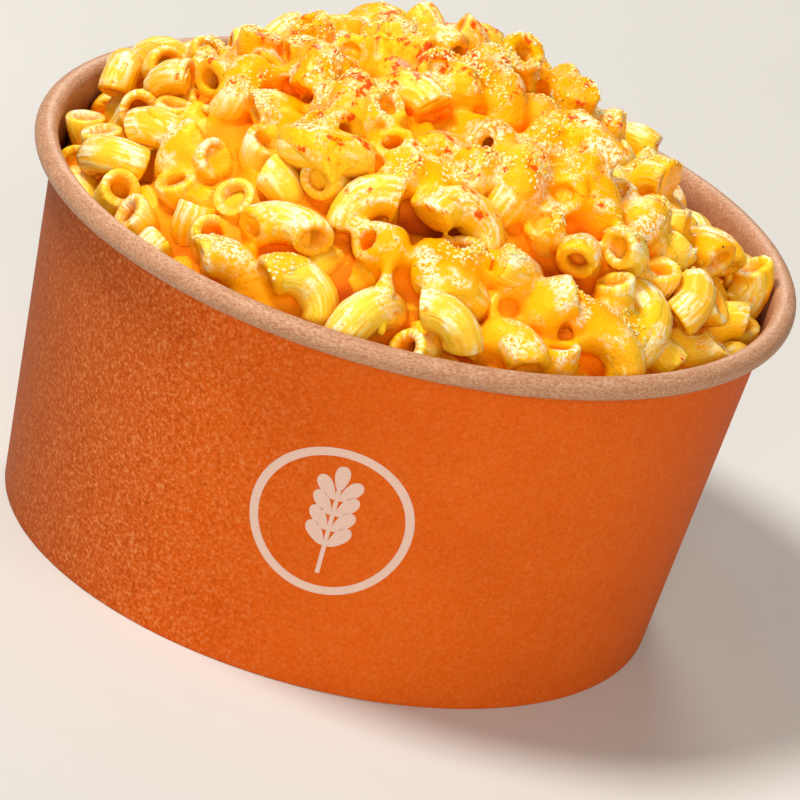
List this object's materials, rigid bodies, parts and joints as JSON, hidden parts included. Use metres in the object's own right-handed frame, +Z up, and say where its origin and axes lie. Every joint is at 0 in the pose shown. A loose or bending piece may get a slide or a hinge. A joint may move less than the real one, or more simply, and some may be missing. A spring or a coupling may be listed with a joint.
{
  "type": "macaroni and cheese in a paper bowl",
  "caption": "Round paper takeaway bowl heaped with elbow macaroni in melted cheese, standing upright on its rolled foot.",
  "frame": {"origin": "centre of the foot ring, on the plane that the bowl stands on", "axes": "+Z up along the bowl's axis, -Y towards the side of the bowl that the picture shows"},
  "size_m": [0.15, 0.15, 0.1109],
  "materials": {
    "printed_paper": "orange print on uncoated kraft paperboard, satin",
    "kraft_paper": "bare kraft paperboard, satin",
    "cheese": "glossy melted cheddar sauce over cooked pasta",
    "pasta": "moist cooked elbow macaroni",
    "bowl_print": "pale pink printed badge, matt",
    "pepper": "specks of ground black pepper"
  },
  "bodies": {
    "root": {"bowl_wall": "printed_paper", "bowl_base": "kraft_paper", "macaroni_and_cheese": "cheese"}
  },
  "joints": []
}
